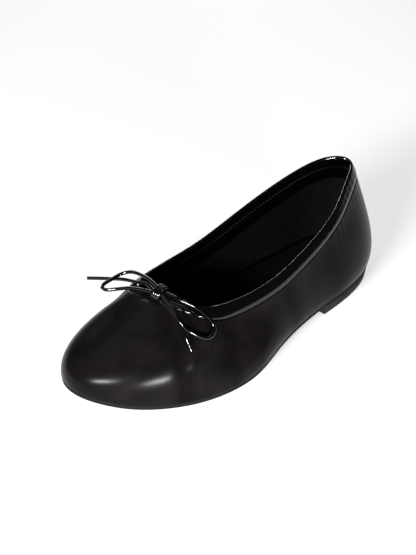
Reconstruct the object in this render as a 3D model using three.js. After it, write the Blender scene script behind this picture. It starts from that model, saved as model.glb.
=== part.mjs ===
// A left ballet flat in black leather: hollow upper, patent topline binding with a cord bow,
// insole, thin outsole with toe spring, and a low heel block. Millimetres, +Z up, +X to the toe,
// +Y to the outer side. The origin is on the floor under the middle of the heel.
import * as THREE from "three";
import { mergeVertices } from "three/addons/utils/BufferGeometryUtils.js";

// Sizes of the last: the shape that the upper is pulled over
const LAST_LENGTH = 243; // feather line, from the back of the heel to the toe
const BALL_WIDTH = 82; // feather line, across the ball
const HEEL_WIDTH = 56; // feather line, across the heel seat
const OPENING_WIDTH = 62; // foot opening, across its widest part
const BACK_HEIGHT = 60.8; // topline over the heel seat, at the back
const SIDE_HEIGHT = 41; // topline over the forefoot, at the waist
const THROAT_HEIGHT = 47.5; // topline over the forefoot, at the throat
const TOE_SPRING = 10.5; // rise of the toe's tip
const HEEL_BACK = 30; // from the origin back to the heel end of the feather line

// Sizes of the pieces
const WALL = 2.2; // leather and lining together
const MARGIN_WIDTH = 11; // lasting margin, turned in under the foot
const MARGIN = 1.5; // its thickness
const BINDING = 0.8; // patent strip
const BINDING_WIDTH = 8.6; // outer leg of the folded strip
const BINDING_INSIDE = 16.5; // inner leg
const BINDING_SET_IN = 0.3; // how far the strip lies below the leather's face
const INSOLE = 2;
const OUTSOLE = 2.7;
const OUTSOLE_INSET = 0.3; // the sole's edge stands in under the upper
const OUTSOLE_BEVEL = 0.5;
const HEEL_BLOCK = 6.5;
const HEEL_INSET = 0.5;
const HEEL_TAPER = 1;
const HEEL_LENGTH = 68; // from the back of the feather line to the breast
const DRAWCORD = 1.4; // the cord inside the binding's rolled edge
const CORD_DIAMETER = 2.2; // the cord of the bow
const KNOT_TURNS = 3;
const KNOT_DEPTH = 6.6; // out from the vamp
const KNOT_HEIGHT = 10.6; // down the vamp
const KNOT_SLOPE = 37; // of the knot's height, in degrees down from level
const CLEARANCE = 0.3; // between pieces that meet

// Lengthwise shares of the last
const ARCH_START = 0.25; // the heel seat ends and the arch falls
const ARCH_END = 0.6; // the arch reaches the forefoot
const SPRING_START = 0.74; // the forefoot starts to rise to the toe

// Fineness
const STATIONS_PER_SECTION = 4;
const WALL_ROWS = 9;
const HEEL_STEPS = 36;
const FOOT_CORNER = 0.06; // share of the wall's height where the inside turns to the margin

// Sections around the last, from the toe by the outer side and the heel to the inner side.
// along and out: a point of the feather line, as shares of the length and of the width there.
// facing: where the wall faces, in degrees from +X. topAlong, topOut: the topline, as shares of the
// length and the opening's width. rise: topline height, from 0 at the waist to 1 at throat or back.
// Each lean (degrees) and reach (share of the wall's straight height) bows the wall at one end.
const SECTIONS = [
  { at: "toe", along: 0.99, out: -0.065, facing: 0, topAlong: 0.716, topOut: -0.033, rise: 1.08,
    footLean: 88, footReach: 0.21, topLean: 23, topReach: 0.78 },
  { at: "toe outside", along: 0.949, out: 0.195, facing: 40, topAlong: 0.707, topOut: 0.13, rise: 1.11,
    footLean: 88, footReach: 0.19, topLean: 25, topReach: 0.74 },
  { at: "vamp outside", along: 0.865, out: 0.388, facing: 68, topAlong: 0.695, topOut: 0.29, rise: 0.89,
    footLean: 84, footReach: 0.08, topLean: 31, topReach: 0.72 },
  { at: "ball outside", along: 0.732, out: 0.551, facing: 85, topAlong: 0.665, topOut: 0.385, rise: 0.46,
    footLean: 84, footReach: 0.215, topLean: 53, topReach: 0.58 },
  { at: "joint outside", along: 0.6, out: 0.577, facing: 92, topAlong: 0.597, topOut: 0.45, rise: -0.03,
    footLean: 79, footReach: 0.285, topLean: 80, topReach: 0.515 },
  { at: "waist outside", along: 0.475, out: 0.531, facing: 97, topAlong: 0.475, topOut: 0.483, rise: 0.03,
    footLean: 76, footReach: 0.283, topLean: 82, topReach: 0.485 },
  { at: "arch outside", along: 0.349, out: 0.57, facing: 93, topAlong: 0.347, topOut: 0.447, rise: 0.25,
    footLean: 75, footReach: 0.283, topLean: 82, topReach: 0.425 },
  { at: "seat outside", along: 0.205, out: 0.571, facing: 95, topAlong: 0.204, topOut: 0.335, rise: 0.58,
    footLean: 71, footReach: 0.267, topLean: 82, topReach: 0.345 },
  { at: "heel outside", along: 0.07, out: 0.396, facing: 125, topAlong: 0.093, topOut: 0.135, rise: 0.87,
    footLean: 66, footReach: 0.283, topLean: 81, topReach: 0.25 },
  { at: "back", along: 0, out: -0.016, facing: 180, topAlong: 0.019, topOut: -0.08, rise: 1,
    footLean: 64, footReach: 0.31, topLean: 80, topReach: 0.23 },
  { at: "heel inside", along: 0.07, out: -0.383, facing: 235, topAlong: 0.068, topOut: -0.327, rise: 1.02,
    footLean: 66, footReach: 0.29, topLean: 82, topReach: 0.265 },
  { at: "seat inside", along: 0.202, out: -0.456, facing: 265, topAlong: 0.2, topOut: -0.478, rise: 0.7,
    footLean: 71, footReach: 0.26, topLean: 84, topReach: 0.31 },
  { at: "arch inside", along: 0.354, out: -0.453, facing: 267, topAlong: 0.343, topOut: -0.528, rise: 0.35,
    footLean: 71, footReach: 0.288, topLean: 84, topReach: 0.35 },
  { at: "waist inside", along: 0.484, out: -0.414, facing: 263, topAlong: 0.475, topOut: -0.533, rise: 0.1,
    footLean: 72, footReach: 0.3, topLean: 82, topReach: 0.355 },
  { at: "joint inside", along: 0.621, out: -0.454, facing: 268, topAlong: 0.588, topOut: -0.533, rise: 0.11,
    footLean: 79, footReach: 0.29, topLean: 72, topReach: 0.35 },
  { at: "ball inside", along: 0.755, out: -0.452, facing: 275, topAlong: 0.685, topOut: -0.46, rise: 0.35,
    footLean: 84, footReach: 0.263, topLean: 53, topReach: 0.475 },
  { at: "vamp inside", along: 0.877, out: -0.433, facing: 292, topAlong: 0.723, topOut: -0.332, rise: 0.48,
    footLean: 86, footReach: 0.223, topLean: 38, topReach: 0.59 },
  { at: "toe inside", along: 0.956, out: -0.317, facing: 320, topAlong: 0.723, topOut: -0.185, rise: 0.83,
    footLean: 87, footReach: 0.214, topLean: 28, topReach: 0.7 },
];

// Routes of the bow's cords, from the knot outwards, as the bow lies over the vamp
const LOOP_OUTER = [
  [146.9, 4.5, 53.7], [145.8, 9.5, 53.3], [144.9, 13.5, 52.4], [141.2, 22.8, 50.1],
  [138.7, 27.8, 46.5], [137.0, 31.6, 42.6], [137.4, 34.5, 39.2], [140.8, 36.3, 37.0],
  [145.8, 36.4, 37.5], [150.6, 34.0, 40.5], [155.0, 29.4, 44.8], [155.6, 22.9, 49.6],
  [152.2, 12.8, 52.1], [149.9, 4.5, 53.8],
];
const LOOP_INNER = [
  [146.5, -3.3, 54.3], [144.6, -12.0, 54.5], [143.9, -19.4, 53.8], [145.0, -26.9, 53.0],
  [148.6, -31.7, 51.0], [154.5, -33.1, 49.5], [161.0, -33.9, 48.0], [162.7, -32.9, 46.8],
  [161.7, -29.7, 46.8], [158.1, -25.0, 48.0], [154.7, -18.3, 50.2], [152.2, -9.8, 52.0],
  [150.7, -3.3, 52.6],
];
const END_OUTER = [
  [150.7, 4.5, 50.6], [152.0, 12.4, 48.9], [153.6, 18.3, 47.2], [155.1, 23.9, 45.0],
  [156.9, 30.6, 41.5], [157.8, 36.7, 34.6],
];
const END_INNER = [
  [148.2, -3.3, 51.1], [146.1, -12.9, 51.5], [148.0, -18.6, 51.1], [149.4, -28.3, 49.0],
  [152.4, -38.1, 46.5], [159.1, -49.9, 44.5],
];
const KNOT_CENTRE = [148.2, 0.6, 52.9];

const forefootLine = OUTSOLE + CLEARANCE;
const seatLine = HEEL_BLOCK + OUTSOLE + 2 * CLEARANCE;

function smooth(share) {
  const t = THREE.MathUtils.clamp(share, 0, 1);
  return t * t * (3 - 2 * t);
}

// Height of the feather line over the floor: heel seat, arch, flat forefoot and toe spring
function featherHeight(x) {
  const along = (x + HEEL_BACK) / LAST_LENGTH;
  const arch = smooth((along - ARCH_START) / (ARCH_END - ARCH_START));
  const spring = Math.max(0, (along - SPRING_START) / (1 - SPRING_START));
  return THREE.MathUtils.lerp(seatLine, forefootLine, arch) + TOE_SPRING * spring ** 2;
}

// One section's row in millimetres, as the numbers that are blended around the last
function measured(section, index) {
  const arch = smooth((section.along - ARCH_START) / (ARCH_END - ARCH_START));
  const x = section.along * LAST_LENGTH - HEEL_BACK;
  const y = section.out * THREE.MathUtils.lerp(HEEL_WIDTH, BALL_WIDTH, arch);
  const topX = section.topAlong * LAST_LENGTH - HEEL_BACK;
  const topY = section.topOut * OPENING_WIDTH;
  const waistTop = forefootLine + SIDE_HEIGHT;
  const endTop = section.along > 0.5 ? forefootLine + THROAT_HEIGHT : seatLine + BACK_HEIGHT;
  const topZ = waistTop + section.rise * (endTop - waistTop);
  const height = Math.hypot(topX - x, topY - y, topZ - featherHeight(x));
  const evenTurn = (360 / SECTIONS.length) * index;
  return [
    x, y, section.facing - evenTurn, topX, topY, topZ,
    section.footLean, section.footReach * height, section.topLean, section.topReach * height,
  ];
}

// Second differences of the smooth closed curve through a column of values
function bendsOf(values) {
  const count = values.length;
  let bends = values.map(() => 0);
  for (let pass = 0; pass < 40; pass += 1) {
    bends = values.map((value, i) => {
      const before = (i + count - 1) % count;
      const after = (i + 1) % count;
      return (6 * (values[before] - 2 * value + values[after]) - bends[before] - bends[after]) / 4;
    });
  }
  return bends;
}

const rows = SECTIONS.map(measured);
const columns = rows[0].map((_, i) => rows.map((row) => row[i]));
const columnBends = columns.map(bendsOf);

// The blended row at a place around the last, counted in sections from the toe
function lineAt(place) {
  const count = SECTIONS.length;
  const wrapped = ((place % count) + count) % count;
  const here = Math.floor(wrapped);
  const next = (here + 1) % count;
  const b = wrapped - here;
  const a = 1 - b;
  const line = columns.map((values, i) => {
    const bends = columnBends[i];
    const curve = (a ** 3 - a) * bends[here] + (b ** 3 - b) * bends[next];
    return a * values[here] + b * values[next] + curve / 6;
  });
  line[2] += (360 / count) * wrapped;
  return line;
}

// A point of the upper's outer face: share 0 is the feather line, share 1 the top of the topline
function face(place, share) {
  const [x, y, facing, topX, topY, topZ, footLean, footReach, topLean, topReach] = lineAt(place);
  const turn = THREE.MathUtils.degToRad(facing);
  const foot = new THREE.Vector3(x, y, featherHeight(x));
  const top = new THREE.Vector3(topX, topY, topZ);
  const bowed = (from, lean, reach, up) => {
    const angle = THREE.MathUtils.degToRad(lean);
    const outward = reach * Math.cos(angle);
    const step = new THREE.Vector3(outward * Math.cos(turn), outward * Math.sin(turn), up * reach * Math.sin(angle));
    return from.clone().add(step);
  };
  const footPull = bowed(foot, footLean, footReach, 1);
  const topPull = bowed(top, topLean, topReach, -1);
  return new THREE.CubicBezierCurve3(foot, footPull, topPull, top).getPoint(share);
}

// A point at a depth below the outer face, square to it
function skin(place, share, depth) {
  const around = face(place + 0.02, share).sub(face(place - 0.02, share));
  const upward = face(place, share + 0.01).sub(face(place, share - 0.01));
  const outward = around.cross(upward).normalize();
  return face(place, share).addScaledVector(outward, -depth);
}

// The share that lies a distance below the top, measured down the outer face
function shareBelow(place, distance) {
  const step = 0.01;
  let travelled = 0;
  let last = face(place, 1);
  for (let share = 1 - step; share > 0; share -= step) {
    const point = face(place, share);
    const length = point.distanceTo(last);
    if (travelled + length >= distance) return share + step * (1 - (distance - travelled) / length);
    travelled += length;
    last = point;
  }
  return 0;
}

function rim(place, depth, drop) {
  return skin(place, shareBelow(place, drop), depth);
}

// A point set in from the feather line, at a rise over it
function underfoot(place, inset, rise) {
  const [footX, footY, facing] = lineAt(place);
  const turn = THREE.MathUtils.degToRad(facing);
  const x = footX - inset * Math.cos(turn);
  const y = footY - inset * Math.sin(turn);
  return new THREE.Vector3(x, y, featherHeight(x) + rise);
}

function solidFrom(points, triangles) {
  const corners = [];
  for (const [a, b, c] of triangles) {
    const [p, q, r] = [points[a], points[b], points[c]];
    const collapsed = p.distanceTo(q) < 1e-6 || q.distanceTo(r) < 1e-6 || r.distanceTo(p) < 1e-6;
    if (!collapsed) corners.push(...p, ...q, ...r);
  }
  const soup = new THREE.BufferGeometry();
  soup.setAttribute("position", new THREE.Float32BufferAttribute(corners, 3));
  const solid = mergeVertices(soup, 1e-5);
  solid.computeVertexNormals();
  return solid;
}

// A closed band: the same closed profile at every station around the last. Each four-sided face is
// cut along its shorter diagonal, so that pieces lying side by side are cut alike.
function band(profileAt) {
  const stations = SECTIONS.length * STATIONS_PER_SECTION;
  const profiles = Array.from({ length: stations }, (_, k) => profileAt(k / STATIONS_PER_SECTION));
  const points = profiles.flat();
  const size = profiles[0].length;
  const triangles = [];
  for (let k = 0; k < stations; k += 1) {
    for (let i = 0; i < size; i += 1) {
      const a = k * size + i;
      const b = ((k + 1) % stations) * size + i;
      const c = ((k + 1) % stations) * size + ((i + 1) % size);
      const d = k * size + ((i + 1) % size);
      const forward = points[a].distanceTo(points[c]) < points[b].distanceTo(points[d]);
      if (forward) triangles.push([a, b, c], [a, c, d]);
      else triangles.push([a, b, d], [b, c, d]);
    }
  }
  return solidFrom(points, triangles);
}

// A plate: edge lines from bottom to top, in order around it, joined across from side to side
function plate(places, edgeAt) {
  const edges = places.map(edgeAt);
  const size = edges[0].length;
  const last = edges.length - 1;
  const triangles = [];
  for (let k = 0; k <= last; k += 1) {
    const next = (k + 1) % edges.length;
    for (let i = 0; i < size - 1; i += 1) {
      const a = k * size + i;
      const b = next * size + i;
      triangles.push([a, b, b + 1], [a, b + 1, a + 1]);
    }
  }
  for (let k = 0; 2 * k < last; k += 1) {
    const outer = k * size;
    const outerNext = (k + 1) * size;
    const inner = (last - k) * size;
    const innerNext = (last - k - 1) * size;
    const top = size - 1;
    triangles.push([outer, innerNext, outerNext], [outer, inner, innerNext]);
    triangles.push([outer + top, outerNext + top, innerNext + top], [outer + top, innerNext + top, inner + top]);
  }
  return solidFrom(edges.flat(), triangles);
}

function allAround() {
  const steps = SECTIONS.length * STATIONS_PER_SECTION;
  return Array.from({ length: steps + 1 }, (_, k) => k / STATIONS_PER_SECTION);
}

// The binding's rolled edge holds the drawcord, and the wall's thin top edge stands in its fold
const beadRadius = DRAWCORD / 2 + BINDING;
const coreDepth = BINDING_SET_IN + BINDING + CLEARANCE;
const coreDrop = 2 * beadRadius;
const strip = { outside: BINDING_SET_IN, inside: WALL + CLEARANCE + BINDING };

// Wall with its face stepped in under the binding, and the margin turned in at the foot
function upper() {
  return band((place) => {
    const seamDrop = BINDING_WIDTH + CLEARANCE;
    const crestDrop = coreDrop + CLEARANCE;
    const seam = shareBelow(place, seamDrop);
    const rowsUp = Array.from({ length: WALL_ROWS + 1 }, (_, j) => j / WALL_ROWS);
    const outside = rowsUp.map((share) => skin(place, seam * share, 0));
    const liningDrop = BINDING_INSIDE + CLEARANCE;
    const stepped = [seamDrop, (seamDrop + crestDrop) / 2, crestDrop].map((drop) => rim(place, coreDepth, drop));
    const linedDrops = [0, 1 / 3, 2 / 3].map((share) => THREE.MathUtils.lerp(crestDrop, liningDrop, share));
    const lined = linedDrops.map((drop) => rim(place, WALL, drop));
    const lining = shareBelow(place, liningDrop);
    const inside = rowsUp.map((share) => skin(place, THREE.MathUtils.lerp(lining, FOOT_CORNER, share), WALL));
    const margin = [
      underfoot(place, WALL + 2 * MARGIN / 3, MARGIN),
      underfoot(place, MARGIN_WIDTH, MARGIN),
      underfoot(place, MARGIN_WIDTH, 0),
    ];
    return [...outside, ...stepped, ...lined, ...inside, ...margin];
  });
}

// Patent strip folded over the wall's top edge, its fold rolled round the drawcord
function toplineBinding() {
  const middle = (strip.outside + strip.inside) / 2;
  const bead = [-20, 10, 40, 65, 90, 115, 140, 170, 200].map((degrees) => {
    const angle = THREE.MathUtils.degToRad(degrees);
    return [middle - beadRadius * Math.cos(angle), beadRadius * (1 - Math.sin(angle))];
  });
  const neck = 0.9 * coreDrop;
  const outerInner = strip.outside + BINDING;
  const innerOuter = strip.inside - BINDING;
  const leg = (depth, from, to, steps) =>
    Array.from({ length: steps + 1 }, (_, i) => [depth, THREE.MathUtils.lerp(from, to, i / steps)]);
  const profile = [
    ...leg(strip.outside, BINDING_WIDTH, neck, 2), ...bead, ...leg(strip.inside, neck, BINDING_INSIDE, 3),
    ...leg(innerOuter, BINDING_INSIDE, coreDrop, 3), ...leg(outerInner, coreDrop, BINDING_WIDTH, 2),
  ];
  return band((place) => profile.map(([depth, drop]) => rim(place, depth, drop)));
}

// Footbed lying on the margin, its edge following the inside of the wall
function insole() {
  const bottom = MARGIN + CLEARANCE;
  return plate(allAround(), (place) => {
    const wallFoot = skin(place, FOOT_CORNER, WALL + 2 * CLEARANCE);
    wallFoot.z = featherHeight(wallFoot.x) + bottom + INSOLE;
    return [underfoot(place, WALL + MARGIN, bottom), wallFoot];
  });
}

function outsole() {
  return plate(allAround(), (place) => [
    underfoot(place, OUTSOLE_INSET + OUTSOLE_BEVEL, -CLEARANCE - OUTSOLE),
    underfoot(place, OUTSOLE_INSET, -CLEARANCE),
  ]);
}

// The place around the last, between two others, whose inset point is at x
function placeAt(x, from, to) {
  let [ahead, behind] = [from, to];
  for (let halving = 0; halving < 40; halving += 1) {
    const middle = (ahead + behind) / 2;
    if (underfoot(middle, HEEL_INSET, 0).x > x) ahead = middle;
    else behind = middle;
  }
  return (ahead + behind) / 2;
}

// Block under the heel seat, flat on the floor, with a straight breast
function heel() {
  const breast = HEEL_LENGTH - HEEL_BACK;
  const back = SECTIONS.length / 2;
  const outer = placeAt(breast, 0, back);
  const inner = placeAt(breast, SECTIONS.length, back);
  const places = Array.from({ length: HEEL_STEPS + 1 }, (_, k) =>
    THREE.MathUtils.lerp(outer, inner, k / HEEL_STEPS));
  return plate(places, (place) => {
    const floor = underfoot(place, HEEL_INSET + HEEL_TAPER, 0);
    floor.z = 0;
    return [floor, underfoot(place, HEEL_INSET, -2 * CLEARANCE - OUTSOLE)];
  });
}

function cord(route) {
  const points = route.map((point) => new THREE.Vector3(...point));
  const path = new THREE.CatmullRomCurve3(points);
  const section = new THREE.Shape();
  const sides = 8;
  for (let side = 0; side < sides; side += 1) {
    const angle = (2 * Math.PI * side) / sides;
    const [x, y] = [CORD_DIAMETER / 2 * Math.cos(angle), CORD_DIAMETER / 2 * Math.sin(angle)];
    if (side === 0) section.moveTo(x, y);
    else section.lineTo(x, y);
  }
  section.closePath();
  const steps = Math.round(path.getLength() / (2.6 * CORD_DIAMETER));
  return new THREE.ExtrudeGeometry(section, { steps, extrudePath: path, bevelEnabled: false });
}

// Turns of cord side by side, drawn out down the vamp and rounded off at both ends
function knot() {
  const core = (KNOT_DEPTH - CORD_DIAMETER) / 2;
  const steps = 6 * KNOT_TURNS;
  const profile = [];
  for (let step = 0; step <= steps; step += 1) {
    const along = step / steps;
    const turn = Math.abs(Math.sin(KNOT_TURNS * Math.PI * along));
    const ends = step === 0 || step === steps;
    const radius = ends ? 0 : core + (CORD_DIAMETER / 2) * turn;
    profile.push(new THREE.Vector2(radius, KNOT_TURNS * CORD_DIAMETER * (along - 0.5)));
  }
  const turns = new THREE.LatheGeometry(profile, 12);
  return turns.scale(KNOT_HEIGHT / KNOT_DEPTH, 1, 1).rotateY(THREE.MathUtils.degToRad(KNOT_SLOPE));
}

function finish(color, roughness) {
  return new THREE.MeshStandardMaterial({ color, roughness, metalness: 0 });
}

const leather = finish(0x1d1b1b, 0.42);
const patent = finish(0x0d0d0e, 0.12);
const footbed = finish(0x141212, 0.7);
const soleRubber = finish(0x232221, 0.75);

function piece(name, geometry, material) {
  const mesh = new THREE.Mesh(geometry, material);
  mesh.name = name;
  return mesh;
}

const shoe = new THREE.Group();
shoe.add(piece("upper", upper(), leather));
shoe.add(piece("topline_binding", toplineBinding(), patent));
shoe.add(piece("insole", insole(), footbed));
shoe.add(piece("outsole", outsole(), soleRubber));
shoe.add(piece("heel", heel(), soleRubber));

const bowKnot = piece("bow_knot", knot(), patent);
bowKnot.position.set(...KNOT_CENTRE);
shoe.add(bowKnot);
shoe.add(piece("bow_loop_outer", cord(LOOP_OUTER), patent));
shoe.add(piece("bow_loop_inner", cord(LOOP_INNER), patent));
shoe.add(piece("bow_end_outer", cord(END_OUTER), patent));
shoe.add(piece("bow_end_inner", cord(END_INNER), patent));

export default shoe;
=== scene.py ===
# Looks of a left ballet flat: soft black leather, patent topline binding and a patent cord bow.
# The shapes follow the same last as the solids: sizes here are in millimetres, objects in metres.
import math

import bmesh
import bpy
import numpy as np
from mathutils import Matrix, Vector


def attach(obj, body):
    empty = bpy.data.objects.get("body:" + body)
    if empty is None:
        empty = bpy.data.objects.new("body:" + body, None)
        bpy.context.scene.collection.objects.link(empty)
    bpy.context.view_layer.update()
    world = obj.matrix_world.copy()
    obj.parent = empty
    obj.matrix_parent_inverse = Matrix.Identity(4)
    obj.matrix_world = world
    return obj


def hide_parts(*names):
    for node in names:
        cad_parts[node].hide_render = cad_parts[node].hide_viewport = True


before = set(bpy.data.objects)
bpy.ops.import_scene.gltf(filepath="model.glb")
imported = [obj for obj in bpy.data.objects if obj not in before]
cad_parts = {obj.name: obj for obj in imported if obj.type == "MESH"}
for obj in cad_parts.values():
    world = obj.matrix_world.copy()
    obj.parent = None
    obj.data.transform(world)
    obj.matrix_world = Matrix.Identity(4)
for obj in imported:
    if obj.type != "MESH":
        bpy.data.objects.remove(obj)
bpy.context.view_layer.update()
MM = 0.001

# Sizes of the last
LAST_LENGTH = 243
BALL_WIDTH = 82
HEEL_WIDTH = 56
OPENING_WIDTH = 62
BACK_HEIGHT = 60.8
SIDE_HEIGHT = 41
THROAT_HEIGHT = 47.5
TOE_SPRING = 10.5
HEEL_BACK = 30

# Sizes of the pieces
WALL = 2.2
MARGIN_WIDTH = 11
MARGIN = 1.5
MARGIN_EDGE = 0.8
BINDING = 0.8
BINDING_WIDTH = 8.6
BINDING_INSIDE = 16.5
BINDING_SET_IN = 0.3
INSOLE = 2
OUTSOLE = 2.7
OUTSOLE_INSET = 0.3
OUTSOLE_BEVEL = 0.5
BEVEL_HEIGHT = 0.7
EDGE_ROUND = 0.15
EDGE_SOFT = 0.2
SOFT_HEIGHT = 0.3
HEEL_BLOCK = 6.5
HEEL_INSET = 0.5
HEEL_TAPER = 1
HEEL_LENGTH = 68
HEEL_BEVEL = 0.3
HEEL_EDGE = 0.5
HEEL_LIFT = 1.2
DRAWCORD = 1.4
CORD_DIAMETER = 2.2
KNOT_TURNS = 3
KNOT_DEPTH = 6.6
KNOT_HEIGHT = 10.6
KNOT_SLOPE = 37
STRAND_REACH = 1.3
CLEARANCE = 0.3
STITCH = 2.6
THREAD = 0.35
THREAD_LIFT = 0.12
STITCH_MARGIN = 1.1

# The leather's edge at the seam: depth behind the face, and how far below the binding's edge
SEAM_ROLL = [(0.25, 0.05), (0.7, 0)]

# Points of a stitch: places along it as shares of its length, and how far each sinks in
STITCH_SPOTS = (-0.36, -0.2, 0, 0.2, 0.36)
STITCH_SINK = (0.25, 0.02, 0, 0.02, 0.25)

# Places along the last as shares of its length, and the lining's lower corner as a share up the face
ARCH_START = 0.25
ARCH_END = 0.6
SPRING_START = 0.74
FOOT_CORNER = 0.06

# Gathers that the drawcord pulls into leather and binding: depth, reach below the seam, number around
FINE_GATHER = 0.08
FINE_REACH = 7
BROAD_GATHER = 0.12
BROAD_REACH = 8
BROAD_COUNT = 74
BINDING_GATHER = 0.06
BINDING_GATHER_COUNT = 61

# Steps of the meshes
STATIONS = 432
OUTSIDE_ROWS = 64
LINING_ROWS = 40
BINDING_ROWS = 8
FACE_STEPS = 160
HEEL_STEPS = 160
FACE_CURVE_STEPS = 3
ROUTE_STEPS = 12
CORD_POINTS = 34
TURN_POINTS = 90
STRAND_POINTS = 10

# Rounds of a solution, small steps for a slope around and up the last, and the distance of a weld
ROUNDS = 40
AROUND_STEP = 0.02
UP_STEP = 0.01
WELD_METRES = 1e-7

# The part of a noise texture's range that its values fill
NOISE_LOW = 0.3
NOISE_HIGH = 0.7

# Sections around the last, from the toe by the outer side and the heel to the inner side:
# along, out, facing, top along, top out, rise, foot lean, foot reach, top lean, top reach
SECTIONS = {
    "toe": (0.99, -0.065, 0, 0.716, -0.033, 1.08, 88, 0.21, 23, 0.78),
    "toe outside": (0.949, 0.195, 40, 0.707, 0.13, 1.11, 88, 0.19, 25, 0.74),
    "vamp outside": (0.865, 0.388, 68, 0.695, 0.29, 0.89, 84, 0.08, 31, 0.72),
    "ball outside": (0.732, 0.551, 85, 0.665, 0.385, 0.46, 84, 0.215, 53, 0.58),
    "joint outside": (0.6, 0.577, 92, 0.597, 0.45, -0.03, 79, 0.285, 80, 0.515),
    "waist outside": (0.475, 0.531, 97, 0.475, 0.483, 0.03, 76, 0.283, 82, 0.485),
    "arch outside": (0.349, 0.57, 93, 0.347, 0.447, 0.25, 75, 0.283, 82, 0.425),
    "seat outside": (0.205, 0.571, 95, 0.204, 0.335, 0.58, 71, 0.267, 82, 0.345),
    "heel outside": (0.07, 0.396, 125, 0.093, 0.135, 0.87, 66, 0.283, 81, 0.25),
    "back": (0, -0.016, 180, 0.019, -0.08, 1, 64, 0.31, 80, 0.23),
    "heel inside": (0.07, -0.383, 235, 0.068, -0.327, 1.02, 66, 0.29, 82, 0.265),
    "seat inside": (0.202, -0.456, 265, 0.2, -0.478, 0.7, 71, 0.26, 84, 0.31),
    "arch inside": (0.354, -0.453, 267, 0.343, -0.528, 0.35, 71, 0.288, 84, 0.35),
    "waist inside": (0.484, -0.414, 263, 0.475, -0.533, 0.1, 72, 0.3, 82, 0.355),
    "joint inside": (0.621, -0.454, 268, 0.588, -0.533, 0.11, 79, 0.29, 72, 0.35),
    "ball inside": (0.755, -0.452, 275, 0.685, -0.46, 0.35, 84, 0.263, 53, 0.475),
    "vamp inside": (0.877, -0.433, 292, 0.723, -0.332, 0.48, 86, 0.223, 38, 0.59),
    "toe inside": (0.956, -0.317, 320, 0.723, -0.185, 0.83, 87, 0.214, 28, 0.7),
}
COUNT = len(SECTIONS)

# The binding's outer face, from its lower fold to the top of the rolled edge: drop below the topline
# as a share of the binding's width, and depth behind the leather's face in millimetres
BINDING_FACE = [
    (1.0, 0.55), (0.955, 0.12), (0.87, -0.16), (0.77, -0.24), (0.66, -0.19), (0.56, -0.04),
    (0.45, 0.18), (0.33, 0.43), (0.2, 0.74), (0.1, 1.08), (0.03, 1.5), (0.0, 2.0),
]

# Routes of the bow's cords, from the knot outwards
LOOP_OUTER = [
    (146.9, 4.5, 53.7), (145.8, 9.5, 53.3), (144.9, 13.5, 52.4), (141.2, 22.8, 50.1),
    (138.7, 27.8, 46.5), (137.0, 31.6, 42.6), (137.4, 34.5, 39.2), (140.8, 36.3, 37.0),
    (145.8, 36.4, 37.5), (150.6, 34.0, 40.5), (155.0, 29.4, 44.8), (155.6, 22.9, 49.6),
    (152.2, 12.8, 52.1), (149.9, 4.5, 53.8),
]
LOOP_INNER = [
    (146.5, -3.3, 54.3), (144.6, -12.0, 54.5), (143.9, -19.4, 53.8), (145.0, -26.9, 53.0),
    (148.6, -31.7, 51.0), (154.5, -33.1, 49.5), (161.0, -33.9, 48.0), (162.7, -32.9, 46.8),
    (161.7, -29.7, 46.8), (158.1, -25.0, 48.0), (154.7, -18.3, 50.2), (152.2, -9.8, 52.0),
    (150.7, -3.3, 52.6),
]
END_OUTER = [
    (150.7, 4.5, 50.6), (152.0, 12.4, 48.9), (153.6, 18.3, 47.2), (155.1, 23.9, 45.0),
    (156.9, 30.6, 41.5), (157.8, 36.7, 34.6),
]
END_INNER = [
    (148.2, -3.3, 51.1), (146.1, -12.9, 51.5), (148.0, -18.6, 51.1), (149.4, -28.3, 49.0),
    (152.4, -38.1, 46.5), (159.1, -49.9, 44.5),
]
KNOT_CENTRE = (148.2, 0.6, 52.9)

# The camera of the photograph
PHOTO_WIDTH = 416
PHOTO_HEIGHT = 555
CAMERA_AZIMUTH = 44.86
CAMERA_ELEVATION = 33.07
CAMERA_ROLL = 0.24
CAMERA_DISTANCE = 1023.7
FOCAL_PIXELS = 1657
CAMERA_TARGET = (81.5, -26.8, 20)
SENSOR_WIDTH = 36

# The studio: the floor's middle, half width in metres and turn, and where the softboxes aim
FLOOR_MIDDLE = (85, -25, 0)
FLOOR_HALF = 3
FLOOR_TURN = 45
STUDIO_AIM = (90, 0, 30)
WORLD_LIGHT = 0.045

# Softboxes: azimuth, elevation, distance and size in metres, and brightness of the face
SOFTBOXES = {
    "softbox_toe_left": (17, 22, 1.3, (0.42, 0.15), 235),
    "softbox_toe_right": (68, 2.5, 1.3, (0.38, 0.09), 400),
    "softbox_over": (285, 64, 1.5, (1.2, 0.9), 0.6),
    "softbox_back": (233, 27, 1.4, (1.0, 0.16), 14),
}

forefoot_line = OUTSOLE + CLEARANCE
seat_line = HEEL_BLOCK + OUTSOLE + 2 * CLEARANCE
bead_radius = DRAWCORD / 2 + BINDING
core_depth = BINDING_SET_IN + BINDING + CLEARANCE
core_drop = 2 * bead_radius
strip_inside = WALL + CLEARANCE + BINDING
stitch_drop = BINDING_WIDTH - STITCH_MARGIN


def smooth(share):
    t = np.clip(share, 0, 1)
    return t * t * (3 - 2 * t)


def between(start, end, share):
    return (1 - share) * start + share * end


def bump(distance, width):
    return np.exp(-((distance / width) ** 2))


# The last


def feather_height(x):
    """Height of the feather edge, where the upper meets the sole."""
    along = (np.asarray(x, float) + HEEL_BACK) / LAST_LENGTH
    arch = smooth((along - ARCH_START) / (ARCH_END - ARCH_START))
    spring = np.clip((along - SPRING_START) / (1 - SPRING_START), 0, None)
    return seat_line + (forefoot_line - seat_line) * arch + TOE_SPRING * spring**2


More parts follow.
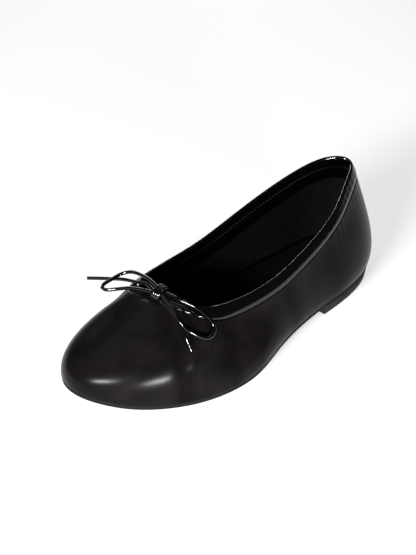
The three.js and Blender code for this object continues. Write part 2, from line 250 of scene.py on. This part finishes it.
def measured(index, row):
    """A section in millimetres, its facing as a turn from the section's even place around the last."""
    along, out, facing, top_along, top_out, rise, foot_lean, foot_reach, top_lean, top_reach = row
    arch = smooth((along - ARCH_START) / (ARCH_END - ARCH_START))
    x = along * LAST_LENGTH - HEEL_BACK
    y = out * (HEEL_WIDTH + (BALL_WIDTH - HEEL_WIDTH) * arch)
    top_x = top_along * LAST_LENGTH - HEEL_BACK
    top_y = top_out * OPENING_WIDTH
    waist_top = forefoot_line + SIDE_HEIGHT
    end_top = forefoot_line + THROAT_HEIGHT if along > 0.5 else seat_line + BACK_HEIGHT
    top_z = waist_top + rise * (end_top - waist_top)
    height = math.dist((x, y, float(feather_height(x))), (top_x, top_y, top_z))
    turn = facing - 360 / COUNT * index
    return x, y, turn, top_x, top_y, top_z, foot_lean, foot_reach * height, top_lean, top_reach * height


def bends_of(table):
    """Bends of the closed smooth curve through the rows of a table."""
    bends = np.zeros_like(table)
    for _ in range(ROUNDS):
        second = 6 * (np.roll(table, 1, 0) - 2 * table + np.roll(table, -1, 0))
        bends = (second - np.roll(bends, 1, 0) - np.roll(bends, -1, 0)) / 4
    return bends


rows = np.array([measured(i, row) for i, row in enumerate(SECTIONS.values())], float)
row_bends = bends_of(rows)


def line_at(place):
    """The section at any place around the last: whole numbers are the table's rows, from the toe."""
    wrapped = np.mod(np.asarray(place, float), COUNT)
    here = np.floor(wrapped).astype(int) % COUNT
    following = (here + 1) % COUNT
    b = (wrapped - np.floor(wrapped))[..., None]
    a = 1 - b
    line = a * rows[here] + b * rows[following]
    line = line + ((a**3 - a) * row_bends[here] + (b**3 - b) * row_bends[following]) / 6
    line[..., 2] += 360 / COUNT * wrapped
    return line


def face(place, share):
    """A point of the upper's outer face: a place around the last and a share of the way up."""
    place, share = np.broadcast_arrays(np.asarray(place, float), np.asarray(share, float))
    line = line_at(place)
    turn = np.radians(line[..., 2])
    foot = np.stack([line[..., 0], line[..., 1], feather_height(line[..., 0])], -1)
    top = line[..., 3:6]

    def pull(start, lean, reach, up):
        angle = np.radians(lean)
        outward = reach * np.cos(angle)
        rise = up * reach * np.sin(angle)
        return start + np.stack([outward * np.cos(turn), outward * np.sin(turn), rise], -1)

    foot_pull = pull(foot, line[..., 6], line[..., 7], 1)
    top_pull = pull(top, line[..., 8], line[..., 9], -1)
    t = share[..., None]
    s = 1 - t
    return s**3 * foot + 3 * s * s * t * foot_pull + 3 * s * t * t * top_pull + t**3 * top


def normal_at(place, share):
    """The direction out of the face."""
    around = face(place + AROUND_STEP, share) - face(place - AROUND_STEP, share)
    upward = face(place, share + UP_STEP) - face(place, share - UP_STEP)
    outward = np.cross(around, upward)
    return outward / np.linalg.norm(outward, axis=-1, keepdims=True)


def skin(place, share, depth):
    """A point behind the outer face, at a depth under it."""
    return face(place, share) - np.asarray(depth, float)[..., None] * normal_at(place, share)


def share_below(places, drop):
    """The share at each place that lies a distance below the top, down the outer face."""
    shares = np.linspace(1, 0, FACE_STEPS + 1)
    line = face(places[:, None], shares[None, :])
    steps = np.linalg.norm(np.diff(line, axis=1), axis=-1)
    travelled = np.concatenate([np.zeros((len(places), 1)), np.cumsum(steps, axis=1)], axis=1)
    return np.array([np.interp(drop, row, shares) for row in travelled])


def rim(places, depth, drop):
    """A line around the last, at a depth under the face and a drop below the topline."""
    return skin(places, share_below(places, drop), depth)


def underfoot(place, inset, rise):
    """A point set in from the feather edge and raised from it."""
    line = line_at(place)
    turn = np.radians(line[..., 2])
    x = line[..., 0] - inset * np.cos(turn)
    y = line[..., 1] - inset * np.sin(turn)
    return np.stack([x, y, feather_height(x) + rise], -1)


# Meshes


def new_mesh(name, points, faces, materials, indices=None):
    mesh = bpy.data.meshes.new(name)
    mesh.from_pydata([tuple(p) for p in np.asarray(points) * MM], [], faces)
    for material in materials:
        mesh.materials.append(material)
    if indices is not None:
        mesh.polygons.foreach_set("material_index", indices)
    mesh.polygons.foreach_set("use_smooth", [True] * len(mesh.polygons))
    mesh.update()
    piece = bpy.data.objects.new(name, mesh)
    bpy.context.collection.objects.link(piece)
    return piece


def banded(name, columns, materials, slots=None):
    """A closed band: columns are the profile's lines around the last, each (stations, 3)."""
    ring = np.stack(columns, 1)
    stations, size = ring.shape[:2]
    faces = []
    indices = []
    for k in range(stations):
        following = (k + 1) % stations
        for i in range(size):
            j = (i + 1) % size
            faces.append((k * size + i, following * size + i, following * size + j, k * size + j))
            indices.append(0 if slots is None else slots[i])
    return new_mesh(name, ring.reshape(-1, 3), faces, materials, indices)


def plated(name, edges, materials, across):
    """A plate: edge lines from bottom to top around it, joined from side to side in steps."""
    count, size = edges.shape[:2]
    last = count - 1
    points = [tuple(p) for p in edges.reshape(-1, 3)]
    faces = []
    for k in range(count):
        following = (k + 1) % count
        for i in range(size - 1):
            a = k * size + i
            b = following * size + i
            faces.append((a, b, b + 1, a + 1))
    for level in (0, size - 1):
        strips = []
        for k in range(last // 2 + 1):
            outer = k * size + level
            inner = (last - k) * size + level
            strip = [outer]
            for step in range(1, across):
                share = step / across
                strip.append(len(points))
                points.append(tuple(between(edges[k, level], edges[last - k, level], share)))
            strips.append(strip + [inner])
        for ahead, behind in zip(strips, strips[1:]):
            for i in range(across):
                quad = [ahead[i], behind[i], behind[i + 1], ahead[i + 1]]
                faces.append(tuple(quad if level else quad[::-1]))
    piece = new_mesh(name, points, faces, materials)
    clean(piece)
    return piece


def clean(piece):
    shape = bmesh.new()
    shape.from_mesh(piece.data)
    bmesh.ops.remove_doubles(shape, verts=shape.verts, dist=WELD_METRES)
    bmesh.ops.dissolve_degenerate(shape, edges=shape.edges, dist=WELD_METRES)
    bmesh.ops.recalc_face_normals(shape, faces=shape.faces)
    shape.to_mesh(piece.data)
    shape.free()


def catmull(points, steps):
    """Points along the centripetal curve through a list of points."""
    route = np.array(points, float)
    route = np.vstack([2 * route[0] - route[1], route, 2 * route[-1] - route[-2]])
    line = []
    for i in range(1, len(route) - 2):
        p = route[i - 1 : i + 3]
        t = np.concatenate([[0], np.cumsum(np.linalg.norm(np.diff(p, axis=0), axis=1) ** 0.5)])
        for u in np.linspace(t[1], t[2], steps, endpoint=False):
            a = [between(p[k], p[k + 1], (u - t[k]) / (t[k + 1] - t[k])) for k in range(3)]
            b = [between(a[k], a[k + 1], (u - t[k]) / (t[k + 2] - t[k])) for k in range(2)]
            line.append(between(b[0], b[1], (u - t[1]) / (t[2] - t[1])))
    line.append(route[-2])
    return np.array(line)


def evenly(line, count):
    """A number of points at even distances along a line."""
    travelled = np.concatenate([[0], np.cumsum(np.linalg.norm(np.diff(line, axis=0), axis=1))])
    wanted = np.linspace(0, travelled[-1], count)
    return np.stack([np.interp(wanted, travelled, line[:, i]) for i in range(3)], -1)


def curve_piece(name, lines, radius, material, resolution=4):
    data = bpy.data.curves.new(name, "CURVE")
    data.dimensions = "3D"
    data.bevel_depth = radius * MM
    data.bevel_resolution = resolution
    data.use_fill_caps = True
    for line in lines:
        spline = data.splines.new("POLY")
        spline.points.add(len(line) - 1)
        for point, place in zip(spline.points, line):
            point.co = (*(np.asarray(place) * MM), 1)
        spline.use_smooth = True
    data.materials.append(material)
    piece = bpy.data.objects.new(name, data)
    bpy.context.collection.objects.link(piece)
    return piece


# Materials


SOCKETS = {
    "colour": "Base Color",
    "roughness": "Roughness",
    "gloss": "Specular IOR Level",
    "glow_colour": "Emission Color",
    "glow": "Emission Strength",
}


class Look:
    """One node-based material: a principled shader and what feeds it."""

    def __init__(self, name, **values):
        self.material = bpy.data.materials.new(name)
        self.material.use_nodes = True
        self.nodes = self.material.node_tree.nodes
        self.links = self.material.node_tree.links
        self.shader = self.nodes["Principled BSDF"]
        for socket, value in values.items():
            self.shader.inputs[SOCKETS[socket]].default_value = value
        self.place = self.nodes.new("ShaderNodeTexCoord").outputs["Object"]
        self.normal = None

    def scaled_place(self, scale):
        mapping = self.nodes.new("ShaderNodeMapping")
        mapping.inputs["Scale"].default_value = scale
        self.links.new(self.place, mapping.inputs["Vector"])
        return mapping.outputs[0]

    def pattern(self, kind, size):
        """A texture whose pattern has a size in millimetres."""
        texture = self.nodes.new(kind)
        texture.inputs["Scale"].default_value = 1
        self.links.new(self.scaled_place([1 / (size * MM)] * 3), texture.inputs["Vector"])
        return texture

    def noise(self, size, detail):
        texture = self.pattern("ShaderNodeTexNoise", size)
        texture.inputs["Detail"].default_value = detail
        return texture.outputs["Fac"]

    def cells(self, size):
        texture = self.pattern("ShaderNodeTexVoronoi", size)
        texture.feature = "SMOOTH_F1"
        return texture.outputs["Distance"]

    def relief(self, height, strength, depth):
        node = self.nodes.new("ShaderNodeBump")
        node.inputs["Strength"].default_value = strength
        node.inputs["Distance"].default_value = depth * MM
        self.links.new(height, node.inputs["Height"])
        if self.normal is not None:
            self.links.new(self.normal, node.inputs["Normal"])
        self.normal = node.outputs["Normal"]
        self.links.new(self.normal, self.shader.inputs["Normal"])

    def tint(self, factor, dark, light):
        node = self.nodes.new("ShaderNodeValToRGB")
        node.color_ramp.elements[0].position = NOISE_LOW
        node.color_ramp.elements[1].position = NOISE_HIGH
        node.color_ramp.elements[0].color = (*dark, 1)
        node.color_ramp.elements[1].color = (*light, 1)
        self.links.new(factor, node.inputs["Fac"])
        self.links.new(node.outputs["Color"], self.shader.inputs["Base Color"])

    def feed(self, socket, value, start, end, low, high, easing="LINEAR"):
        """Feed a socket with what goes from low to high while a value goes from start to end."""
        node = self.nodes.new("ShaderNodeMapRange")
        node.interpolation_type = easing
        node.inputs["From Min"].default_value = start
        node.inputs["From Max"].default_value = end
        node.inputs["To Min"].default_value = low
        node.inputs["To Max"].default_value = high
        self.links.new(value, node.inputs["Value"])
        self.links.new(node.outputs["Result"], self.shader.inputs[SOCKETS[socket]])

    def vary_roughness(self, factor, low, high):
        self.feed("roughness", factor, NOISE_LOW, NOISE_HIGH, low, high)

    def dim_away(self, stretch, start, end, near, far):
        """Light of the surface itself, bright in an oval around the middle and dimmer outside."""
        distance = self.nodes.new("ShaderNodeVectorMath")
        distance.operation = "LENGTH"
        self.links.new(self.scaled_place(stretch), distance.inputs[0])
        self.feed("glow", distance.outputs["Value"], start, end, near, far, "SMOOTHSTEP")

    def painted_crease_shade(self, level, crease_shade_level):
        """Painted shade in the creases: less gloss where the leather is creased darkens it, from the depth
        stored on the mesh.
        """
        depth = self.nodes.new("ShaderNodeAttribute")
        depth.attribute_name = "crease"
        self.feed("gloss", depth.outputs["Fac"], 0, 1, level, crease_shade_level)

    def fade_at_edges(self, start, level, edge_level):
        """Keep the mirror of the floor off the silhouettes: the gloss falls where it turns away."""
        turned = self.nodes.new("ShaderNodeLayerWeight")
        turned.inputs["Blend"].default_value = 0.5
        self.feed("gloss", turned.outputs["Facing"], start, 1, level, edge_level)


def leather_look():
    look = Look("soft_leather")
    look.tint(look.noise(17, 3), (0.0016, 0.0014, 0.0014), (0.0042, 0.0032, 0.0034))
    look.vary_roughness(look.noise(22, 4), 0.23, 0.3)
    # The creases are darkened with painted shade, through lower gloss
    look.painted_crease_shade(level=0.07, crease_shade_level=0.01)
    look.relief(look.cells(0.8), strength=0.16, depth=0.12)
    look.relief(look.noise(0.5, 5), strength=0.18, depth=0.06)
    look.relief(look.noise(9, 2), strength=0.12, depth=0.5)
    return look.material


def patent_look():
    look = Look("patent", colour=(0.0004, 0.0004, 0.0004, 1), roughness=0.06)
    look.fade_at_edges(start=0.6, level=0.55, edge_level=0.1)
    look.relief(look.noise(7, 2), strength=0.1, depth=0.3)
    look.relief(look.noise(1.6, 2), strength=0.05, depth=0.05)
    return look.material


def lining_look():
    look = Look("lining", roughness=0.85, gloss=0.02)
    look.tint(look.noise(6, 4), (0.0022, 0.0021, 0.0021), (0.0034, 0.0033, 0.0033))
    look.relief(look.cells(0.6), strength=0.2, depth=0.08)
    look.relief(look.noise(12, 3), strength=0.25, depth=0.7)
    return look.material


def footbed_look():
    look = Look("footbed", roughness=0.85, gloss=0.01)
    look.tint(look.noise(9, 4), (0.0019, 0.0018, 0.0018), (0.0029, 0.0028, 0.0028))
    look.relief(look.cells(0.7), strength=0.2, depth=0.08)
    return look.material


def rubber_look(name, dark, light):
    look = Look(name, gloss=0.08)
    look.tint(look.noise(5, 4), dark, light)
    look.vary_roughness(look.noise(11, 3), 0.7, 0.85)
    look.relief(look.noise(0.7, 4), strength=0.3, depth=0.08)
    return look.material


def thread_look():
    look = Look("thread", colour=(0.005, 0.005, 0.005, 1), roughness=0.6, gloss=0.15)
    look.relief(look.noise(0.2, 2), strength=0.4, depth=0.05)
    return look.material


leather = leather_look()
patent = patent_look()
lining = lining_look()
footbed = footbed_look()
sole_rubber = rubber_look("sole_rubber", (0.0026, 0.0024, 0.0024), (0.0046, 0.0043, 0.0042))
heel_rubber = rubber_look("heel_rubber", (0.0065, 0.006, 0.006), (0.0115, 0.0108, 0.0106))
thread = thread_look()


def put(piece, slot, *nodes):
    """Give a piece its body, and let it stand for its solids; the slot is not used."""
    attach(piece, "root")
    if nodes:
        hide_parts(*nodes)


# The camera and the bow's cords


def away(azimuth, elevation):
    """The direction from the shoe to a place around it, from its angles in degrees."""
    a, e = math.radians(azimuth), math.radians(elevation)
    return Vector((math.cos(e) * math.cos(a), math.cos(e) * math.sin(a), math.sin(e)))


def add_camera():
    roll = math.radians(CAMERA_ROLL)
    back = away(CAMERA_AZIMUTH, CAMERA_ELEVATION)
    right = Vector((0, 0, 1)).cross(back).normalized()
    up = back.cross(right)
    turned_right = right * math.cos(roll) + up * math.sin(roll)
    turned_up = up * math.cos(roll) - right * math.sin(roll)
    data = bpy.data.cameras.new("photo_camera")
    data.sensor_width = SENSOR_WIDTH
    data.lens = FOCAL_PIXELS / max(PHOTO_WIDTH, PHOTO_HEIGHT) * SENSOR_WIDTH
    camera = bpy.data.objects.new("photo_camera", data)
    bpy.context.collection.objects.link(camera)
    place = (Vector(CAMERA_TARGET) + back * CAMERA_DISTANCE) * MM
    axes = Matrix((turned_right, turned_up, back)).transposed().to_4x4()
    camera.matrix_world = Matrix.Translation(place) @ axes
    data.clip_start = 0.05
    data.clip_end = 50
    bpy.context.scene.camera = camera


def add_cord(name, route, node):
    line = evenly(catmull(route, ROUTE_STEPS), CORD_POINTS)
    piece = curve_piece(name, [line], CORD_DIAMETER / 2, patent)
    put(piece, "bow_cord", node)


def knot_point(down, across, out):
    """A point of the knot: down the vamp, across it and out from it."""
    slope = math.radians(KNOT_SLOPE)
    down_vamp = np.multiply.outer(down, (math.cos(slope), 0, -math.sin(slope)))
    out_of_vamp = np.multiply.outer(out, (math.sin(slope), 0, math.cos(slope)))
    return down_vamp + out_of_vamp + np.multiply.outer(across, (0, 1, 0)) + KNOT_CENTRE


def add_knot():
    """Turns of the cord, wound around the strands that run through the knot."""
    tall = (KNOT_HEIGHT - CORD_DIAMETER) / 2
    deep = (KNOT_DEPTH - CORD_DIAMETER) / 2
    half = (KNOT_TURNS - 1) * CORD_DIAMETER / 2
    angles = np.linspace(0, 2 * math.pi * (KNOT_TURNS - 0.5), TURN_POINTS)
    across = np.linspace(-half, half, TURN_POINTS)
    coil = knot_point(tall * np.cos(angles), across, deep * np.sin(angles))
    strands = []
    for down in (-CORD_DIAMETER, 0, CORD_DIAMETER):
        run = np.linspace(-STRAND_REACH * half, STRAND_REACH * half, STRAND_POINTS)
        strands.append(knot_point(np.full(STRAND_POINTS, down), run, np.zeros(STRAND_POINTS)))
    put(curve_piece("bow_knot_turns", [coil], CORD_DIAMETER / 2, patent), "bow_cord", "bow_knot")
    put(curve_piece("bow_knot_strands", strands, CORD_DIAMETER / 2, patent), "bow_cord")


add_camera()
add_cord("bow_cord_loop_outer", LOOP_OUTER, "bow_loop_outer")
add_cord("bow_cord_loop_inner", LOOP_INNER, "bow_loop_inner")
add_cord("bow_cord_end_outer", END_OUTER, "bow_end_outer")
add_cord("bow_cord_end_inner", END_INNER, "bow_end_inner")
add_knot()


# Upper


places = np.arange(STATIONS) * COUNT / STATIONS
seam_share = share_below(places, BINDING_WIDTH + CLEARANCE)


def around_the_rim():
    """Distance around the topline at each station, in millimetres."""
    line = face(places, 1)
    steps = np.linalg.norm(np.roll(line, -1, 0) - line, axis=1)
    return np.concatenate([[0], np.cumsum(steps)[:-1]]), float(steps.sum())


rim_distance, rim_length = around_the_rim()
rim_angle = rim_distance * 2 * math.pi / rim_length

# Soft troughs and ridges of the leather: start and end on the plan as shares of the length and of
# the ball's width, half width and depth in millimetres (a ridge has a negative depth)
CREASES = [
    (0.75, 0.12, 0.80, 0.46, 5.0, 1.1),
    (0.84, 0.04, 0.86, 0.22, 12.0, -0.25),
    (0.70, 0.30, 0.745, 0.50, 4.0, 0.35),
    (0.635, 0.46, 0.67, 0.56, 4.0, 0.3),
    (0.79, -0.26, 0.86, -0.1, 9.0, 0.35),
    (0.55, 0.42, 0.58, 0.56, 5.5, 0.3),
    (0.42, 0.40, 0.40, 0.55, 6.0, 0.3),
    (0.27, 0.38, 0.22, 0.46, 7.0, 0.35),
    (0.70, -0.26, 0.76, -0.42, 5.0, 0.4),
    (0.50, -0.42, 0.48, -0.52, 6.0, 0.3),
    (0.30, -0.34, 0.26, -0.46, 7.0, 0.3),
]

# Depth of a crease in millimetres at which the leather is dullest, with the darkest painted shade
CREASE_SHADE_DEPTH = 0.7


def crease_depth(points):
    """How far the creases press the leather in, from where the points lie on the plan."""
    depth = np.zeros(points.shape[:-1])
    for along_a, out_a, along_b, out_b, width, trough in CREASES:
        start = np.array([along_a * LAST_LENGTH - HEEL_BACK, out_a * BALL_WIDTH])
        end = np.array([along_b * LAST_LENGTH - HEEL_BACK, out_b * BALL_WIDTH])
        run = end - start
        offset = points[..., :2] - start
        share = np.clip((offset @ run) / (run @ run), 0, 1)
        distance = np.linalg.norm(offset - share[..., None] * run, axis=-1)
        depth += trough * bump(distance, width)
    return depth


def pucker_depth(drop):
    """Fine gathers that the drawcord pulls into the leather just under the seam."""
    s = rim_angle
    fine = np.sin(rim_length / STITCH * s) * (0.6 + 0.4 * np.sin(13 * s + 1))
    broad = np.sin(BROAD_COUNT * s + 1.4 * np.sin(7 * s)) * (0.5 + 0.5 * np.sin(11 * s + 2))
    below = np.clip(drop - BINDING_WIDTH, 0, None)
    fine_depth = FINE_GATHER * fine * np.exp(-below / FINE_REACH)
    broad_depth = BROAD_GATHER * broad * np.exp(-below / BROAD_REACH)
    return fine_depth + broad_depth


def leather_face(share, drop):
    """The outer face with its creases and gathers."""
    base = face(places, share)
    depth = crease_depth(base) * smooth(share * 4) + pucker_depth(drop)
    return base - depth[:, None] * normal_at(places, share)


def drop_of(share):
    """Straight distance of each station's point below the topline."""
    return np.linalg.norm(face(places, 1) - face(places, share), axis=1)


def upper_columns():
    """Lines around the upper's wall, from the feather edge over the seam to the margin, and their slots."""
    outside = []
    for j in range(OUTSIDE_ROWS + 1):
        share = seam_share * j / OUTSIDE_ROWS
        outside.append(leather_face(share, drop_of(share)))
    # The leather's edge rolls in at the seam, and the wall goes on as a core behind the binding
    rolled = [rim(places, depth, BINDING_WIDTH + drop) for depth, drop in SEAM_ROLL]
    rolled.append(rim(places, core_depth, BINDING_WIDTH))
    core = [rim(places, core_depth, core_drop + CLEARANCE), rim(places, WALL, core_drop + CLEARANCE)]
    lining_share = share_below(places, BINDING_INSIDE + CLEARANCE)
    inside = [rim(places, WALL, BINDING_INSIDE)]
    for j in range(LINING_ROWS + 1):
        share = lining_share + (FOOT_CORNER - lining_share) * j / LINING_ROWS
        inside.append(skin(places, share, WALL))
    margin = [
        underfoot(places, WALL + 2 * MARGIN / 3, MARGIN),
        underfoot(places, MARGIN_WIDTH, MARGIN),
        underfoot(places, MARGIN_WIDTH, 0),
        underfoot(places, MARGIN_EDGE, 0),
    ]
    columns = outside + rolled + core + inside + margin
    leather_rows = len(outside) + len(rolled)
    slots = [0] * leather_rows + [1] * (len(columns) - leather_rows)
    return columns, slots


def add_upper():
    columns, slots = upper_columns()
    piece = banded("upper_leather", columns, [leather, lining], slots)
    points = np.stack(columns, 1).reshape(-1, 3)
    # The crease depth kept on the mesh lowers the gloss there as painted shade
    shade = piece.data.attributes.new("crease", "FLOAT", "POINT")
    shade.data.foreach_set("value", np.clip(crease_depth(points) / CREASE_SHADE_DEPTH, 0, 1))
    put(piece, "leather", "upper")


# Binding


def binding_gather(drop):
    """Soft waves of the binding, which fade towards its rolled edge."""
    s = rim_angle
    wave = np.sin(BINDING_GATHER_COUNT * s + 2.1 * np.sin(5 * s)) * (0.5 + 0.5 * np.sin(9 * s + 2))
    return BINDING_GATHER * wave * smooth(drop / 3)


def add_binding():
    half = strip_inside - BINDING_FACE[-1][1]
    outside = catmull([(depth, drop * BINDING_WIDTH, 0) for drop, depth in BINDING_FACE], FACE_CURVE_STEPS)
    profile = [(depth, drop) for depth, drop, _ in outside]
    for degrees in range(75, 0, -15):
        angle = math.radians(degrees)
        profile.append((strip_inside - half * (1 - math.cos(angle)), half * (1 - math.sin(angle))))
    for drop in np.linspace(half, BINDING_INSIDE, BINDING_ROWS + 1):
        profile.append((strip_inside, drop))
    profile += [
        (strip_inside - BINDING, BINDING_INSIDE),
        (strip_inside - BINDING, core_drop),
        (BINDING_SET_IN + BINDING, core_drop),
        (BINDING_SET_IN + BINDING, BINDING_WIDTH),
    ]
    columns = []
    for depth, drop in profile:
        columns.append(rim(places, depth + binding_gather(drop), drop))
    put(banded("binding_patent", columns, [patent]), "patent", "topline_binding")


def add_stitches(name, depth, drop, lift):
    """A row of lockstitches around the topline, each a short bar of thread that dips at its ends."""
    count = round(rim_length / STITCH)
    closed_places = np.append(places, COUNT)
    shares = share_below(closed_places, drop)
    lines = []
    for k in range(count):
        centre = k * rim_length / count
        spots = (centre + np.array(STITCH_SPOTS) * STITCH) % rim_length
        at = np.interp(spots, np.append(rim_distance, rim_length), closed_places)
        sink = np.array(STITCH_SINK) * (1 if lift > 0 else -1)
        lines.append(skin(at, np.interp(at, closed_places, shares), depth - lift + sink))
    put(curve_piece(name, lines, THREAD / 2, thread, resolution=1), "patent")


# Insole, outsole and heel


def add_insole():
    around = np.append(places, COUNT)
    bottom = MARGIN + CLEARANCE
    low = underfoot(around, WALL + MARGIN, bottom)
    # The sock's upper edge follows the lining, just above its lower corner
    high = skin(around, FOOT_CORNER + 0.02, WALL + 0.15)
    high[:, 2] = feather_height(high[:, 0]) + bottom + INSOLE
    edges = np.stack([low, high], 1)
    put(plated("insole_sock", edges, [footbed], across=12), "footbed", "insole")


def add_outsole():
    around = np.append(places, COUNT)
    top = -CLEARANCE
    bottom = top - OUTSOLE
    # Lines of the sole's edge from the bottom up, with a rounded lower and a softened upper corner
    lines = [
        underfoot(around, OUTSOLE_INSET + OUTSOLE_BEVEL, bottom),
        underfoot(around, OUTSOLE_INSET + EDGE_ROUND, bottom + BEVEL_HEIGHT / 2),
        underfoot(around, OUTSOLE_INSET, bottom + BEVEL_HEIGHT),
        underfoot(around, OUTSOLE_INSET, top - SOFT_HEIGHT),
        underfoot(around, OUTSOLE_INSET + EDGE_SOFT, top),
    ]
    put(plated("outsole_rubber", np.stack(lines, 1), [sole_rubber], across=10), "sole", "outsole")


def place_at(x, ahead, behind):
    """The place around the foot line, between two others, where the heel's edge reaches x."""
    for _ in range(ROUNDS):
        middle = (ahead + behind) / 2
        if underfoot(np.array(middle), HEEL_INSET, 0)[0] > x:
            ahead = middle
        else:
            behind = middle
    return (ahead + behind) / 2


def add_heel():
    breast = HEEL_LENGTH - HEEL_BACK
    outer = place_at(breast, 0, COUNT / 2)
    inner = place_at(breast, COUNT, COUNT / 2)
    around = np.linspace(outer, inner, HEEL_STEPS + 1)
    top = -2 * CLEARANCE - OUTSOLE
    # Lines of the block's side from the floor up, with softened lower and upper corners
    floor = underfoot(around, HEEL_INSET + HEEL_TAPER + HEEL_BEVEL, 0)
    floor[:, 2] = 0
    edge = underfoot(around, HEEL_INSET + HEEL_TAPER, 0)
    edge[:, 2] = HEEL_EDGE
    lift = underfoot(around, HEEL_INSET + EDGE_ROUND, top - HEEL_LIFT)
    high = underfoot(around, HEEL_INSET, top - EDGE_SOFT)
    crown = underfoot(around, HEEL_INSET + EDGE_SOFT, top)
    edges = np.stack([floor, edge, lift, high, crown], 1)
    put(plated("heel_block", edges, [heel_rubber], across=8), "heel_block", "heel")


add_upper()
add_binding()
add_stitches("binding_stitches_outside", BINDING_SET_IN, stitch_drop, THREAD_LIFT)
add_stitches("binding_stitches_inside", strip_inside, stitch_drop, -THREAD_LIFT)
add_insole()
add_outsole()
add_heel()


# Studio: white floor, and softboxes where the photograph's highlights reflect from


def floor_look():
    white = (1, 1, 1, 1)
    look = Look("studio_floor", colour=(0.35, 0.35, 0.35, 1), roughness=0.9, gloss=0, glow_colour=white)
    look.dim_away(stretch=(1, 2.4, 1), start=0.45, end=1.4, near=0.62, far=0.2)
    return look.material


def add_floor():
    half = FLOOR_HALF
    corners = [(-half, -half, 0), (half, -half, 0), (half, half, 0), (-half, half, 0)]
    mesh = bpy.data.meshes.new("studio_floor")
    mesh.from_pydata(corners, [], [(0, 1, 2, 3)])
    mesh.materials.append(floor_look())
    floor = bpy.data.objects.new("studio_floor", mesh)
    bpy.context.collection.objects.link(floor)
    floor.location = Vector(FLOOR_MIDDLE) * MM
    floor.rotation_euler = (0, 0, math.radians(FLOOR_TURN))


def add_softbox(name, azimuth, elevation, distance, size, radiance):
    """A panel that faces the shoe."""
    width, height = size
    data = bpy.data.lights.new(name, "AREA")
    data.shape = "RECTANGLE"
    data.size = width
    data.size_y = height
    data.energy = radiance * math.pi * width * height
    light = bpy.data.objects.new(name, data)
    bpy.context.collection.objects.link(light)
    back = away(azimuth, elevation)
    light.location = Vector(STUDIO_AIM) * MM + back * distance
    light.rotation_mode = "QUATERNION"
    light.rotation_quaternion = (-back).to_track_quat("-Z", "Y")


def add_world():
    world = bpy.data.worlds.new("studio")
    world.use_nodes = True
    background = world.node_tree.nodes["Background"]
    background.inputs["Color"].default_value = (1, 1, 1, 1)
    background.inputs["Strength"].default_value = WORLD_LIGHT
    bpy.context.scene.world = world


add_floor()
add_world()
for box_name, panel in SOFTBOXES.items():
    add_softbox(box_name, *panel)
bpy.context.scene.view_settings.view_transform = "Standard"
